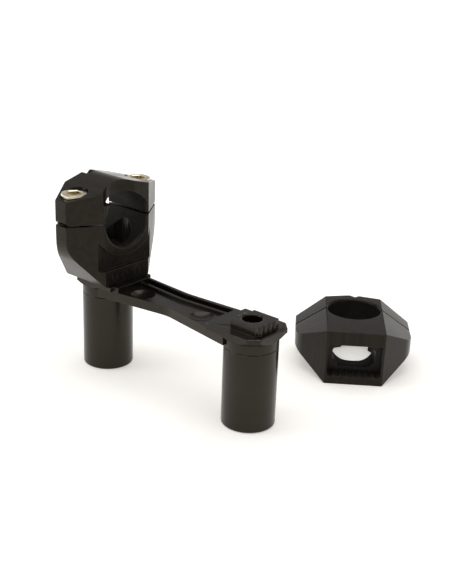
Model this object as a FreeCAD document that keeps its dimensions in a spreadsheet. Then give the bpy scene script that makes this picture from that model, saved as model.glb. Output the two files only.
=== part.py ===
import FreeCAD, Part
import os
import Sketcher

# Handlebar riser, millimetres.
# X runs along the bridge, Y to the rear and Z up. The origin lies midway between the posts, on their feet.
# A clamp is drawn in its own frame: X along the bar, Y to the rear, Z up from its underside.

SIZES = [
    ("post_spacing", 88.9, "distance between the post axes"),
    ("post_diameter", 23.8, "outside of a post and of the collar above it"),
    ("post_height", 36.8, "from the foot to the seam under the bridge"),
    ("foot_thread_diameter", 12.7, "thread in the foot of a post"),
    ("foot_thread_depth", 15.0, "depth of that thread"),
    ("post_chamfer", 0.6, "edge break at the ends of a post"),
    ("collar_height", 4.1, "straight part of the bridge above the seam"),
    ("flare_height", 2.0, "slanting part between collar and pad edge"),
    ("flare_reach", 2.6, "how far the slant leans out of the collar"),
    ("pad_edge", 2.0, "upright edge of a pad"),
    ("pad_front_reach", 12.6, "pad in front of the post axis"),
    ("pad_rear_reach", 13.6, "pad behind the post axis"),
    ("pad_outer_reach", 11.9, "pad beyond the post axis, away from the middle"),
    ("pad_inner_reach", 15.2, "wide part of the pad, towards the middle"),
    ("pad_corner", 4.3, "cut-off outer corners of a pad"),
    ("beam_drop", 7.0, "from the pad top to the underside of the beam"),
    ("waist_front", 5.5, "front edge of the beam at its middle, from the centre line"),
    ("waist_front_radius", 20.0, "round of that edge in plan"),
    ("waist_rear", 8.6, "rear edge of the beam at its middle, from the centre line"),
    ("waist_rear_radius", 60.0, "round of that edge in plan"),
    ("beam_end_front", 11.7, "front edge of the beam under a pad"),
    ("beam_end_rear", 11.5, "rear edge of the beam under a pad"),
    ("channel_depth", 2.5, "floor of the beam below the pad top"),
    ("channel_end", 17.5, "distance of the channel's end from a post axis"),
    ("rail_width", 1.7, "rail along the rear edge"),
    ("slot_width", 1.9, "slot in front of the rail"),
    ("lip_width", 1.8, "lip in front of the slot"),
    ("lip_height", 1.3, "lip above the channel floor"),
    ("dish_spacing", 36.2, "distance between the two dishes"),
    ("dish_offset", 2.6, "dishes in front of the centre line"),
    ("dish_diameter", 11.3, "rim of a dish"),
    ("dish_depth", 1.5, "deepest point of a dish"),
    ("tooth_pitch", 3.12, "pitch of the teeth on boss and clamp"),
    ("tooth_radius", 1.5, "round of a boss tooth"),
    ("tooth_clearance", 0.15, "between a boss tooth and its groove"),
    ("tooth_root", 0.45, "flat between two boss teeth, beyond their centre line"),
    ("tooth_line_inner", 5.0, "tooth centre line, from the post axis towards -X"),
    ("tooth_line_outer", 7.7, "tooth centre line, from the post axis towards +X"),
    ("boss_teeth", 4, "teeth at each end of a boss"),
    ("boss_half_width", 7.8, "half of a boss across the bridge"),
    ("boss_height", 3.9, "boss above the pad"),
    ("seat_bolt_diameter", 8.0, "shank of the bolt that holds a clamp down"),
    ("seat_bolt_clearance", 0.3, "between that shank and the hole in the boss"),
    ("seat_bolt_mouth", 0.5, "chamfer round the hole in the boss"),
    ("seat_bolt_grip", 15.0, "thread of the seat bolt in the post"),
    ("seat_bolt_end_room", 2.5, "free thread below the seat bolt"),
    ("seat_head_diameter", 13.0, "low head of the seat bolt"),
    ("seat_head_height", 5.0, "height of that head"),
    ("seat_socket", 5.0, "hexagon of the seat bolt, across flats"),
    ("seat_socket_depth", 2.7, "depth of that hexagon"),
    ("washer_diameter", 16.8, "washer under the seat bolt's head"),
    ("washer_thickness", 1.6, "thickness of that washer"),
    ("thread_clearance", 0.05, "between a plain shank and its threaded hole"),
    ("bar_diameter", 25.4, "bore of a clamp"),
    ("bore_chamfer", 0.8, "edge break of the bore"),
    ("clamp_width", 26.8, "clamp along the bar"),
    ("clamp_nose_width", 6.8, "front and rear faces, along the bar"),
    ("clamp_cheek_half", 13.7, "half of the side faces and of the underside"),
    ("clamp_reach", 28.1, "half of the clamp across the bar"),
    ("clamp_belly_height", 17.5, "where the lower slants would meet the end faces"),
    ("clamp_belly_radius", 16.0, "round between the lower slants and the end faces"),
    ("bore_height", 29.9, "bore axis above the underside"),
    ("split_gap", 0.8, "gap between body and cap"),
    ("cap_shoulder_height", 41.0, "top of the end faces"),
    ("cap_apex_height", 48.4, "where the roof slopes would meet"),
    ("ridge_radius", 14.0, "round of the ridge"),
    ("cap_lip", 1.2, "slant of the cap's end faces above the gap"),
    ("cap_scoop_depth", 5.2, "upright scoop in the cap's inner side face"),
    ("cap_scoop_radius", 11.3, "round of that scoop in plan"),
    ("cap_scoop_offset", 5.0, "middle of the scoop in front of the bar"),
    ("cap_scoop_sill", 38.8, "its floor above the underside"),
    ("notch_width", 6.4, "notch in the ridge, across the bar"),
    ("notch_offset", 1.2, "middle of that notch in front of the ridge"),
    ("notch_length", 4.0, "notch along the bar"),
    ("notch_depth", 2.7, "floor of the notch below the top of the roof"),
    ("pocket_half_length", 12.7, "half of the toothed pocket, across the bar"),
    ("pocket_depth", 6.7, "depth of the toothed pocket"),
    ("pocket_teeth", 8, "grooves in the pocket"),
    ("crest_flat", 0.65, "crest between two grooves, beyond their centre line"),
    ("window_inner", 4.6, "window above the pocket, towards -X"),
    ("window_outer", 6.9, "window above the pocket, towards +X"),
    ("window_half_length", 10.1, "half of that window, across the bar"),
    ("window_corner", 3.0, "cut-off corners of that window"),
    ("seat_floor_height", 9.0, "ledge for the washer above the underside"),
    ("washer_clearance", 0.2, "between the washer and the walls beside it"),
    ("seat_travel", 3.2, "how far the washer's slot runs past its round ends"),
    ("side_recess_depth", 1.9, "recess of the inner side face"),
    ("side_band_height", 7.6, "plain band below that recess"),
    ("side_arch_radius", 19.0, "arched top of that recess"),
    ("side_arch_rise", 2.1, "centre of that arch above the bore axis"),
    ("side_recess_half", 17.6, "half of the recess, across the bar"),
    ("index_groove_radius", 0.5, "index grooves in the plain band"),
    ("index_groove_start", 2.2, "their lower ends above the underside"),
    ("index_groove_length", 3.0, "length of an index groove"),
    ("index_grooves", 7, "number of index grooves"),
    ("screw_offset", 19.75, "clamp screws in front of and behind the bore axis"),
    ("screw_diameter", 7.94, "shank of a clamp screw"),
    ("screw_head_diameter", 11.9, "head of a clamp screw"),
    ("screw_head_height", 7.9, "height of that head"),
    ("screw_head_chamfer", 0.7, "edge break of that head"),
    ("screw_socket", 6.35, "hexagon of a clamp screw, across flats"),
    ("screw_socket_depth", 4.4, "depth of that hexagon"),
    ("screw_seat_height", 35.7, "seat of the heads above the underside"),
    ("screw_length", 20.0, "shank below the head"),
    ("screw_end_room", 2.0, "free thread below a clamp screw"),
    ("screw_clearance", 0.25, "round a shank in the cap"),
    ("screw_head_clearance", 0.35, "round a head in its counterbore"),
    ("loose_clamp_x", 57.6, "underside of the loose clamp, along the bridge"),
    ("loose_clamp_y", 61.7, "underside of the loose clamp, to the rear"),
    ("loose_clamp_angle", 36.9, "degrees the loose clamp is turned on the table"),
]

document = FreeCAD.newDocument("handlebar_riser")
sheet = document.addObject("Spreadsheet::Sheet", "sizes")
for row, (alias, number, note) in enumerate(SIZES, start=1):
    sheet.set("A%d" % row, note)
    sheet.set("B%d" % row, str(number))
    sheet.setAlias("B%d" % row, alias)
document.recompute()


class Size:
    """A number together with the expression that gives it from the sheet."""

    def __init__(self, value, text):
        self.value = float(value)
        self.text = text

    def __add__(self, other):
        other = as_size(other)
        return Size(self.value + other.value, "(%s + %s)" % (self.text, other.text))

    def __radd__(self, other):
        return as_size(other) + self

    def __sub__(self, other):
        other = as_size(other)
        return Size(self.value - other.value, "(%s - %s)" % (self.text, other.text))

    def __rsub__(self, other):
        return as_size(other) - self

    def __mul__(self, other):
        other = as_size(other)
        return Size(self.value * other.value, "(%s * %s)" % (self.text, other.text))

    def __rmul__(self, other):
        return as_size(other) * self

    def __truediv__(self, other):
        other = as_size(other)
        return Size(self.value / other.value, "(%s / %s)" % (self.text, other.text))

    def __neg__(self):
        return Size(-self.value, "(0 - %s)" % self.text)


def as_size(number):
    return number if isinstance(number, Size) else Size(number, repr(number))


def size(alias):
    return Size(sheet.get(alias), "sizes.%s" % alias)


def root(number):
    return Size(number.value ** 0.5, "sqrt(%s)" % number.text)


def bind(thing, name, number):
    thing.setExpression(name, as_size(number).text)


# Values that several pieces share, each made from the sheet.
half_spacing = size("post_spacing") / 2
post_radius = size("post_diameter") / 2
seam = size("post_height")
flare_start = seam + size("collar_height")
pad_under = flare_start + size("flare_height")
pad_top = pad_under + size("pad_edge")
beam_under = pad_top - size("beam_drop")
floor = pad_top - size("channel_depth")
boss_top = pad_top + size("boss_height")
bore_radius = size("bar_diameter") / 2
body_top = size("bore_height") - size("split_gap") / 2
cap_bottom = size("bore_height") + size("split_gap") / 2
groove_radius = size("tooth_radius") + size("tooth_clearance")
seat_hole_diameter = size("seat_bolt_diameter") + size("seat_bolt_clearance") * 2
washer_seat = pad_top + size("seat_floor_height")


def make_body(name):
    body = document.addObject("PartDesign::Body", name)
    body.Label = name
    return body


def plane(body, role):
    return [feature for feature in body.Origin.OriginFeatures if feature.Role == role][0]


def make_sketch(body, name, role, offset=None):
    sketch = body.newObject("Sketcher::SketchObject", name)
    sketch.AttachmentSupport = (plane(body, role), "")
    sketch.MapMode = "FlatFace"
    if offset is not None:
        bind(sketch, "AttachmentOffset.Base.z", offset)
        document.recompute()
    return sketch


def place_point(sketch, index, end, across, up, tag):
    """Holds a point at (across, up) from the sketch's origin; None leaves a direction free."""
    for axis, number, line in (("X", across, -2), ("Y", up, -1)):
        if number is None:
            continue
        number = as_size(number)
        if number.text in ("0", "0.0"):
            sketch.addConstraint(Sketcher.Constraint("PointOnObject", index, end, line))
            continue
        constraint = Sketcher.Constraint("Distance" + axis, -1, 1, index, end, number.value)
        place = sketch.addConstraint(constraint)
        sketch.renameConstraint(place, "%s_%s" % (tag, axis.lower()))
        sketch.setExpression("Constraints.%s_%s" % (tag, axis.lower()), number.text)


def draw_polygon(sketch, points, tag):
    """Draws a closed outline through points given as pairs of sizes."""
    spots = [FreeCAD.Vector(as_size(x).value, as_size(y).value, 0) for x, y in points]
    first = sketch.GeometryCount
    count = len(points)
    for step in range(count):
        sketch.addGeometry(Part.LineSegment(spots[step], spots[(step + 1) % count]), False)
    for step in range(count):
        following = first + (step + 1) % count
        sketch.addConstraint(Sketcher.Constraint("Coincident", first + step, 2, following, 1))
    for step, (across, up) in enumerate(points):
        place_point(sketch, first + step, 1, across, up, "%s_%d" % (tag, step))


def draw_circle(sketch, across, up, diameter, tag):
    middle = FreeCAD.Vector(as_size(across).value, as_size(up).value, 0)
    circle = Part.Circle(middle, FreeCAD.Vector(0, 0, 1), diameter.value / 2)
    index = sketch.addGeometry(circle, False)
    place_point(sketch, index, 3, across, up, tag)
    place = sketch.addConstraint(Sketcher.Constraint("Diameter", index, diameter.value))
    sketch.renameConstraint(place, tag + "_diameter")
    sketch.setExpression("Constraints.%s_diameter" % tag, diameter.text)


def straight(start, end):
    return Part.LineSegment(FreeCAD.Vector(start[0], start[1], 0), FreeCAD.Vector(end[0], end[1], 0))


def draw_slot(sketch, half_straight, radius, tag):
    """Draws a round-ended slot along the sketch's second axis, centred on its origin."""
    reach, half = radius.value, half_straight.value
    upward = FreeCAD.Vector(0, 0, 1)
    top = Part.Circle(FreeCAD.Vector(0, half, 0), upward, reach)
    bottom = Part.Circle(FreeCAD.Vector(0, -half, 0), upward, reach)
    pi = 3.141592653589793
    sketch.addGeometry(Part.ArcOfCircle(top, 0, pi), False)
    sketch.addGeometry(straight((-reach, half), (-reach, -half)), False)
    sketch.addGeometry(Part.ArcOfCircle(bottom, pi, 2 * pi), False)
    sketch.addGeometry(straight((reach, -half), (reach, half)), False)
    for one, other, start in ((0, 1, 1), (1, 2, 1), (2, 3, 1), (3, 0, 1)):
        sketch.addConstraint(Sketcher.Constraint("Coincident", one, 2, other, start))
    for step, (across, up) in enumerate(((radius, half_straight), (-radius, half_straight),
                                         (-radius, -half_straight), (radius, -half_straight))):
        place_point(sketch, step, 1, across, up, "%s_%d" % (tag, step))
    place_point(sketch, 0, 3, None, half_straight, tag + "_top")
    place_point(sketch, 2, 3, None, -half_straight, tag + "_bottom")


def draw_arch(sketch, level, wide, middle, radius):
    """Draws a window with a level sill and, for its head, the lower part of a circle."""
    spring = middle - root(radius * radius - wide * wide)
    reach, head, sill = wide.value, spring.value, level.value
    sketch.addGeometry(straight((-reach, head), (-reach, sill)), False)
    sketch.addGeometry(straight((-reach, sill), (reach, sill)), False)
    sketch.addGeometry(straight((reach, sill), (reach, head)), False)
    crown = FreeCAD.Vector(0, middle.value - radius.value, 0)
    ends = [FreeCAD.Vector(-reach, head, 0), FreeCAD.Vector(reach, head, 0)]
    sketch.addGeometry(Part.Arc(ends[0], crown, ends[1]), False)
    for one, end, other, start in ((0, 2, 1, 1), (1, 2, 2, 1), (2, 2, 3, 2), (0, 1, 3, 1)):
        sketch.addConstraint(Sketcher.Constraint("Coincident", one, end, other, start))
    place_point(sketch, 0, 1, -wide, spring, "spring_front")
    place_point(sketch, 1, 1, -wide, level, "sill_front")
    place_point(sketch, 1, 2, wide, level, "sill_rear")
    place_point(sketch, 2, 2, wide, spring, "spring_rear")
    place_point(sketch, 3, 3, None, middle, "arch")


def pad(body, sketch, length, name, both_ways=False):
    feature = body.newObject("PartDesign::Pad", name)
    feature.Profile = sketch
    feature.Midplane = both_ways
    bind(feature, "Length", length)
    sketch.Visibility = False
    document.recompute()
    return feature


def pocket(body, sketch, length, name, upward=False, both_ways=False):
    feature = body.newObject("PartDesign::Pocket", name)
    feature.Profile = sketch
    feature.Reversed = upward
    feature.Midplane = both_ways
    before = body.Shape.Volume
    bind(feature, "Length", length)
    sketch.Visibility = False
    document.recompute()
    if body.Shape.Volume > before - 0.01:
        raise RuntimeError("%s cuts nothing" % name)
    return feature


def turn(body, sketch, kind, name):
    """Turns a sketch about its first construction line."""
    feature = body.newObject("PartDesign::" + kind, name)
    feature.Profile = sketch
    feature.ReferenceAxis = (sketch, ["Axis0"])
    feature.Angle = 360
    sketch.Visibility = False
    document.recompute()
    return feature


def row_of(body, feature, sketch, axis, length, count, name):
    """Repeats a feature along an axis of its sketch."""
    pattern = body.newObject("PartDesign::LinearPattern", name)
    pattern.Originals = [feature]
    pattern.Direction = (sketch, [axis])
    bind(pattern, "Length", length)
    bind(pattern, "Occurrences", count)
    body.Tip = pattern
    document.recompute()
    return pattern


def axis_line(sketch, start, end, tag):
    """Adds a construction line that a Revolution or a Groove turns about."""
    spots = [FreeCAD.Vector(as_size(x).value, as_size(y).value, 0) for x, y in (start, end)]
    index = sketch.addGeometry(Part.LineSegment(spots[0], spots[1]), True)
    place_point(sketch, index, 1, start[0], start[1], tag + "_start")
    place_point(sketch, index, 2, end[0], end[1], tag + "_end")


def dress(body, kind, chosen, number, name):
    """Adds a Chamfer or a Fillet to the edges of the tip that chosen() accepts."""
    tip = body.Tip
    names = ["Edge%d" % (place + 1) for place, edge in enumerate(tip.Shape.Edges) if chosen(edge)]
    if not names:
        raise RuntimeError("%s finds no edge" % name)
    feature = body.newObject("PartDesign::" + kind, name)
    feature.Base = (tip, names)
    bind(feature, "Size" if kind == "Chamfer" else "Radius", number)
    document.recompute()
    return feature


def near(one, other):
    return abs(one - other) < 0.001


def make_post(name, side):
    """A round post with a threaded hole in each end."""
    body = make_body(name)
    profile = make_sketch(body, name + "_profile", "XZ_Plane")
    edge = size("post_chamfer")
    axis_line(profile, (0, 0), (0, seam), "axis")
    outline = [(0, 0), (post_radius - edge, 0), (post_radius, edge), (post_radius, seam - edge / 3),
               (post_radius - edge / 3, seam), (0, seam)]
    draw_polygon(profile, outline, "outline")
    turn(body, profile, "Revolution", name + "_turned")
    foot = make_sketch(body, name + "_foot", "XY_Plane")
    draw_circle(foot, 0, 0, size("foot_thread_diameter"), "thread")
    pocket(body, foot, size("foot_thread_depth"), name + "_foot_thread", upward=True)
    head = make_sketch(body, name + "_head", "XY_Plane", seam)
    draw_circle(head, 0, 0, size("seat_bolt_diameter") + size("thread_clearance") * 2, "thread")
    pocket(body, head, size("seat_bolt_grip") + size("seat_bolt_end_room"), name + "_head_thread")
    bind(body, "Placement.Base.x", half_spacing * side)
    return body


def make_bridge():
    """The waisted bar that joins the posts, with a pad and a toothed boss over each of them."""
    body = make_body("bridge")
    collars = make_sketch(body, "collar_outline", "XY_Plane", seam)
    draw_circle(collars, -half_spacing, 0, size("post_diameter"), "left")
    draw_circle(collars, half_spacing, 0, size("post_diameter"), "right")
    body.AllowCompound = True
    pad(body, collars, pad_top - seam, "collars")
    pads = make_sketch(body, "pad_outline", "XY_Plane", flare_start)
    front, rear, corner = size("pad_front_reach"), size("pad_rear_reach"), size("pad_corner")
    for side, tag in ((-1, "left"), (1, "right")):
        middle = half_spacing * side
        outer = middle + size("pad_outer_reach") * side
        inner = middle - size("pad_inner_reach") * side
        nearly = outer - corner * side
        outline = [(inner, -front), (nearly, -front), (outer, corner - front),
                   (outer, rear - corner), (nearly, rear), (inner, rear)]
        draw_polygon(pads, outline, tag)
    pad(body, pads, pad_top - flare_start, "pads")
    clear = size("pad_inner_reach") + size("pad_rear_reach")
    for side, tag in ((-1, "left"), (1, "right")):
        under = make_sketch(body, tag + "_flare_profile", "XZ_Plane")
        middle = half_spacing * side
        axis_line(under, (middle, flare_start), (middle, pad_top), "axis")
        outline = [(middle + post_radius, flare_start), (middle + clear, flare_start),
                   (middle + clear, pad_under), (middle + post_radius + size("flare_reach"), pad_under)]
        draw_polygon(under, outline, "outline")
        turn(body, under, "Groove", tag + "_flare")
    beam = make_sketch(body, "beam_outline", "XY_Plane", beam_under)
    hidden = half_spacing - post_radius / 2
    front, rear = size("waist_front"), size("waist_rear")
    outline = [(-hidden, -size("beam_end_front")), (0, -front), (hidden, -size("beam_end_front")),
               (hidden, size("beam_end_rear")), (0, rear), (-hidden, size("beam_end_rear"))]
    draw_polygon(beam, outline, "beam")
    pad(body, beam, pad_top - beam_under, "beam")

    def is_waist(place):
        def chosen(edge):
            box = edge.BoundBox
            upright = near(box.XLength, 0) and near(box.YLength, 0)
            return upright and near(box.XMin, 0) and near(box.YMin, place.value)

        return chosen

    dress(body, "Fillet", is_waist(-front), size("waist_front_radius"), "front_waist")
    dress(body, "Fillet", is_waist(rear), size("waist_rear_radius"), "rear_waist")
    cut_channel(body)
    for side, tag in ((-1, "left"), (1, "right")):
        add_boss(body, half_spacing * side, tag)
    holes = make_sketch(body, "seat_holes", "XY_Plane", boss_top)
    draw_circle(holes, -half_spacing, 0, seat_hole_diameter, "left")
    draw_circle(holes, half_spacing, 0, seat_hole_diameter, "right")
    pocket(body, holes, boss_top - seam, "seat_bolt_holes")
    rim = boss_top.value

    def is_mouth(edge):
        return near(edge.BoundBox.ZMin, rim) and near(edge.BoundBox.ZMax, rim) and near(
            edge.BoundBox.XLength, seat_hole_diameter.value)

    dress(body, "Chamfer", is_mouth, size("seat_bolt_mouth"), "seat_hole_mouths")
    return body


def cut_channel(body):
    """Sinks the top of the beam, leaving a lip, a slot and a rail along its rear edge, and two dishes."""
    channel = make_sketch(body, "channel_outline", "XY_Plane", pad_top)
    end = half_spacing - size("channel_end")
    lean = (size("beam_end_rear") - size("waist_rear")) / (half_spacing - post_radius / 2)
    rail_waist = size("waist_rear") - size("rail_width")
    rail_end = rail_waist + lean * end
    front = size("beam_end_front") + size("pad_corner")
    outline = [(-end, -front), (end, -front), (end, rail_end), (0, rail_waist), (-end, rail_end)]
    draw_polygon(channel, outline, "channel")
    pocket(body, channel, size("channel_depth"), "channel")
    lip = make_sketch(body, "lip_outline", "XY_Plane", floor)
    back = rail_waist - size("slot_width")
    rise = lean * end
    outline = [(-end, back - size("lip_width") + rise), (0, back - size("lip_width")),
               (end, back - size("lip_width") + rise), (end, back + rise), (0, back), (-end, back + rise)]
    draw_polygon(lip, outline, "lip")
    pad(body, lip, size("lip_height"), "lip")
    for side, tag in ((-1, "left"), (1, "right")):
        dish = make_sketch(body, tag + "_dish_profile", "XZ_Plane", size("dish_offset"))
        draw_dish(dish, size("dish_spacing") / 2 * side)
        turn(body, dish, "Groove", tag + "_dish")


def draw_dish(sketch, middle):
    """Draws half of a dish: an arc from its lowest point to its rim, and the lines that close it."""
    reach, depth = size("dish_diameter") / 2, size("dish_depth")
    axis_line(sketch, (middle, floor - depth), (middle, floor), "axis")
    low, rim, lid = (middle, floor - depth), (middle + reach, floor), (middle, floor)
    ball = (reach.value ** 2 + depth.value ** 2) / (2 * depth.value)
    spots = [FreeCAD.Vector(x.value, y.value, 0) for x, y in (low, rim, lid)]
    centre = FreeCAD.Vector(middle.value, floor.value - depth.value + ball, 0)
    between = centre + ((spots[0] - centre) + (spots[1] - centre)).normalize() * ball
    sketch.addGeometry(Part.Arc(spots[0], between, spots[1]), False)
    sketch.addGeometry(Part.LineSegment(spots[1], spots[2]), False)
    sketch.addGeometry(Part.LineSegment(spots[2], spots[0]), False)
    for one, other in ((1, 2), (2, 3), (3, 1)):
        sketch.addConstraint(Sketcher.Constraint("Coincident", one, 2, other, 1))
    place_point(sketch, 1, 1, low[0], low[1], "low")
    place_point(sketch, 2, 1, rim[0], rim[1], "rim")
    place_point(sketch, 3, 1, lid[0], lid[1], "lid")
    place_point(sketch, 1, 3, middle, None, "ball")


def add_boss(body, middle, tag):
    """A boss with a row of round teeth at each end, for the pocket of a clamp."""
    core = make_sketch(body, tag + "_boss_outline", "XY_Plane", pad_top)
    inner = middle - size("tooth_line_inner") - size("tooth_root")
    outer = middle + size("tooth_line_outer") + size("tooth_root")
    wide = size("boss_half_width")
    draw_polygon(core, [(inner, -wide), (outer, -wide), (outer, wide), (inner, wide)], "core")
    pad(body, core, size("boss_height"), tag + "_boss")
    teeth = make_sketch(body, tag + "_boss_tooth", "XY_Plane", pad_top)
    run = size("tooth_pitch") * (size("boss_teeth") - 1)
    draw_circle(teeth, middle - size("tooth_line_inner"), -run / 2, size("tooth_radius") * 2, "inner")
    draw_circle(teeth, middle + size("tooth_line_outer"), -run / 2, size("tooth_radius") * 2, "outer")
    tooth = pad(body, teeth, size("boss_height"), tag + "_boss_teeth")
    row_of(body, tooth, teeth, "V_Axis", run, size("boss_teeth"), tag + "_boss_tooth_row")


def clamp_plan(sketch):
    """The eight-sided outline of a clamp seen along the screws."""
    half, nose = size("clamp_width") / 2, size("clamp_nose_width") / 2
    cheek, reach = size("clamp_cheek_half"), size("clamp_reach")
    outline = [(-half, -cheek), (-nose, -reach), (nose, -reach), (half, -cheek),
               (half, cheek), (nose, reach), (-nose, reach), (-half, cheek)]
    draw_polygon(sketch, outline, "plan")


def cut_bore(body, name):
    """The bore for the bar, with its edges broken."""
    bore = make_sketch(body, name + "_bore", "YZ_Plane")
    draw_circle(bore, 0, size("bore_height"), size("bar_diameter"), "bar")
    pocket(body, bore, size("clamp_width") * 2, name + "_bar_bore", both_ways=True)
    half, edge = size("clamp_width") / 2, size("bore_chamfer")
    rim = make_sketch(body, name + "_rim", "XZ_Plane")
    level = size("bore_height")
    axis_line(rim, (-half, level), (half, level), "axis")
    inside = level + bore_radius - edge
    for side, tag in ((-1, "left"), (1, "right")):
        outline = [(half * side, inside), (half * side, inside + edge * 2),
                   ((half - edge * 2) * side, inside)]
        draw_polygon(rim, outline, tag)
    turn(body, rim, "Groove", name + "_bore_edges")


def make_clamp_body(name):
    """The lower half of a bar clamp, with its toothed pocket and the seat of the bolt."""
    body = make_body(name)
    plan = make_sketch(body, name + "_plan", "XY_Plane")
    clamp_plan(plan)
    pad(body, plan, body_top, name + "_block")
    belly = make_sketch(body, name + "_belly", "YZ_Plane")
    cheek, reach, level = size("clamp_cheek_half"), size("clamp_reach"), size("clamp_belly_height")
    beyond = reach + cheek
    for side, tag in ((-1, "front"), (1, "rear")):
        outline = [(cheek * side, 0), (reach * side, level), (beyond * side, level),
                   (beyond * side, -level), (cheek * side, -level)]
        draw_polygon(belly, outline, tag)
    pocket(body, belly, size("clamp_width") * 2, name + "_slants", both_ways=True)

    def is_belly(edge):
        box = edge.BoundBox
        along = near(box.YLength, 0) and near(box.ZLength, 0)
        return along and near(abs(box.YMin), reach.value) and near(box.ZMin, level.value)

    dress(body, "Fillet", is_belly, size("clamp_belly_radius"), name + "_rounds")
    cut_bore(body, name)
    cut_seat(body, name)
    holes = make_sketch(body, name + "_screw_holes", "XY_Plane", body_top)
    thread = size("screw_diameter") + size("thread_clearance") * 2
    draw_circle(holes, 0, -size("screw_offset"), thread, "front")
    draw_circle(holes, 0, size("screw_offset"), thread, "rear")
    depth = size("screw_length") - (size("screw_seat_height") - body_top) + size("screw_end_room")
    pocket(body, holes, depth, name + "_screw_threads")
    cut_side(body, name)
    return body


def cut_seat(body, name):
    """The toothed pocket, the window above it and the slot that holds the washer."""
    hollow = make_sketch(body, name + "_pocket", "XY_Plane")
    inner = -size("tooth_line_inner") - groove_radius
    outer = size("tooth_line_outer") + size("crest_flat")
    half = size("pocket_half_length")
    draw_polygon(hollow, [(inner, -half), (outer, -half), (outer, half), (inner, half)], "pocket")
    pocket(body, hollow, size("pocket_depth"), name + "_tooth_pocket", upward=True)
    teeth = make_sketch(body, name + "_groove", "XY_Plane")
    run = size("tooth_pitch") * (size("pocket_teeth") - 1)
    draw_circle(teeth, size("tooth_line_outer"), -run / 2, groove_radius * 2, "outer")
    tooth = pocket(body, teeth, size("pocket_depth"), name + "_tooth_groove", upward=True)
    row_of(body, tooth, teeth, "V_Axis", run, size("pocket_teeth"), name + "_tooth_grooves")
    window = make_sketch(body, name + "_window", "XY_Plane")
    left, right, long = -size("window_inner"), size("window_outer"), size("window_half_length")
    corner = size("window_corner")
    outline = [(left, corner - long), (left + corner, -long), (right - corner, -long),
               (right, corner - long), (right, long - corner), (right - corner, long),
               (left + corner, long), (left, long - corner)]
    draw_polygon(window, outline, "window")
    pocket(body, window, size("bore_height"), name + "_seat_window", upward=True)
    slot = make_sketch(body, name + "_slot", "XY_Plane", size("seat_floor_height"))
    draw_slot(slot, size("seat_travel"), size("washer_diameter") / 2 + size("washer_clearance"), "slot")
    pocket(body, slot, size("bore_height"), name + "_washer_slot", upward=True)


def cut_side(body, name):
    """The arched recess of the inner side face and the index grooves in the band below it."""
    half, depth = size("clamp_width") / 2, size("side_recess_depth")
    recess = make_sketch(body, name + "_recess", "YZ_Plane", half - depth)
    middle = size("bore_height") + size("side_arch_rise")
    sill, wide, radius = size("side_band_height"), size("side_recess_half"), size("side_arch_radius")
    draw_arch(recess, sill, wide, middle, radius)
    pocket(body, recess, depth * 2, name + "_side_recess", upward=True)
    index = make_sketch(body, name + "_index", "XY_Plane", size("index_groove_start"))
    run = size("tooth_pitch") * (size("index_grooves") - 1)
    draw_circle(index, half, -run / 2, size("index_groove_radius") * 2, "groove")
    groove = pocket(body, index, size("index_groove_length"), name + "_index_groove", upward=True)
    row_of(body, groove, index, "V_Axis", run, size("index_grooves"), name + "_index_grooves")


def make_clamp_cap(name):
    """The upper half of a bar clamp, with a rounded ridge and sunk screw heads."""
    body = make_body(name)
    apex, shoulder = size("cap_apex_height"), size("cap_shoulder_height")
    plan = make_sketch(body, name + "_plan", "XY_Plane", cap_bottom)
    clamp_plan(plan)
    pad(body, plan, apex - cap_bottom, name + "_block")
    roof = make_sketch(body, name + "_roof", "YZ_Plane")
    reach = size("clamp_reach")
    high = apex + shoulder / 4
    for side, tag in ((-1, "front"), (1, "rear")):
        beyond = reach * 2 * side
        outline = [(0, apex), (reach * side, shoulder), (beyond, shoulder), (beyond, high), (0, high)]
        draw_polygon(roof, outline, tag)
    pocket(body, roof, size("clamp_width") * 2, name + "_slopes", both_ways=True)

    def is_ridge(edge):
        box = edge.BoundBox
        return near(box.ZMin, apex.value) and near(box.ZMax, apex.value) and near(box.YLength, 0)

    dress(body, "Fillet", is_ridge, size("ridge_radius"), name + "_ridge")
    cut_bore(body, name)
    lip = make_sketch(body, name + "_lip", "YZ_Plane")
    slant = size("cap_lip")
    for side, tag in ((-1, "front"), (1, "rear")):
        outline = [((reach - slant) * side, cap_bottom), (reach * side, cap_bottom + slant),
                   ((reach + slant) * side, cap_bottom + slant), ((reach + slant) * side, cap_bottom)]
        draw_polygon(lip, outline, tag)
    pocket(body, lip, size("clamp_width") * 2, name + "_lips", both_ways=True)
    half = size("clamp_width") / 2
    notch = make_sketch(body, name + "_notch", "YZ_Plane", -half)
    wide, middle = size("notch_width") / 2, -size("notch_offset")
    outline = [(middle, apex - size("notch_depth")), (middle + wide, apex), (middle - wide, apex)]
    draw_polygon(notch, outline, "notch")
    pocket(body, notch, size("notch_length"), name + "_ridge_notch", upward=True)
    sill, radius = size("cap_scoop_sill"), size("cap_scoop_radius")
    scoop = make_sketch(body, name + "_scoop", "XY_Plane", sill)
    middle = half + radius - size("cap_scoop_depth")
    draw_circle(scoop, middle, -size("cap_scoop_offset"), radius * 2, "scoop")
    pocket(body, scoop, apex - sill, name + "_side_scoop", upward=True)
    shanks = make_sketch(body, name + "_shanks", "XY_Plane", cap_bottom)
    heads = make_sketch(body, name + "_heads", "XY_Plane", size("screw_seat_height"))
    passage = size("screw_diameter") + size("screw_clearance") * 2
    counterbore = size("screw_head_diameter") + size("screw_head_clearance") * 2
    for side, tag in ((-1, "front"), (1, "rear")):
        draw_circle(shanks, 0, size("screw_offset") * side, passage, tag)
        draw_circle(heads, 0, size("screw_offset") * side, counterbore, tag)
    pocket(body, shanks, apex - cap_bottom, name + "_screw_passages", upward=True)
    pocket(body, heads, apex - size("screw_seat_height"), name + "_counterbores", upward=True)
    return body


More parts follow.
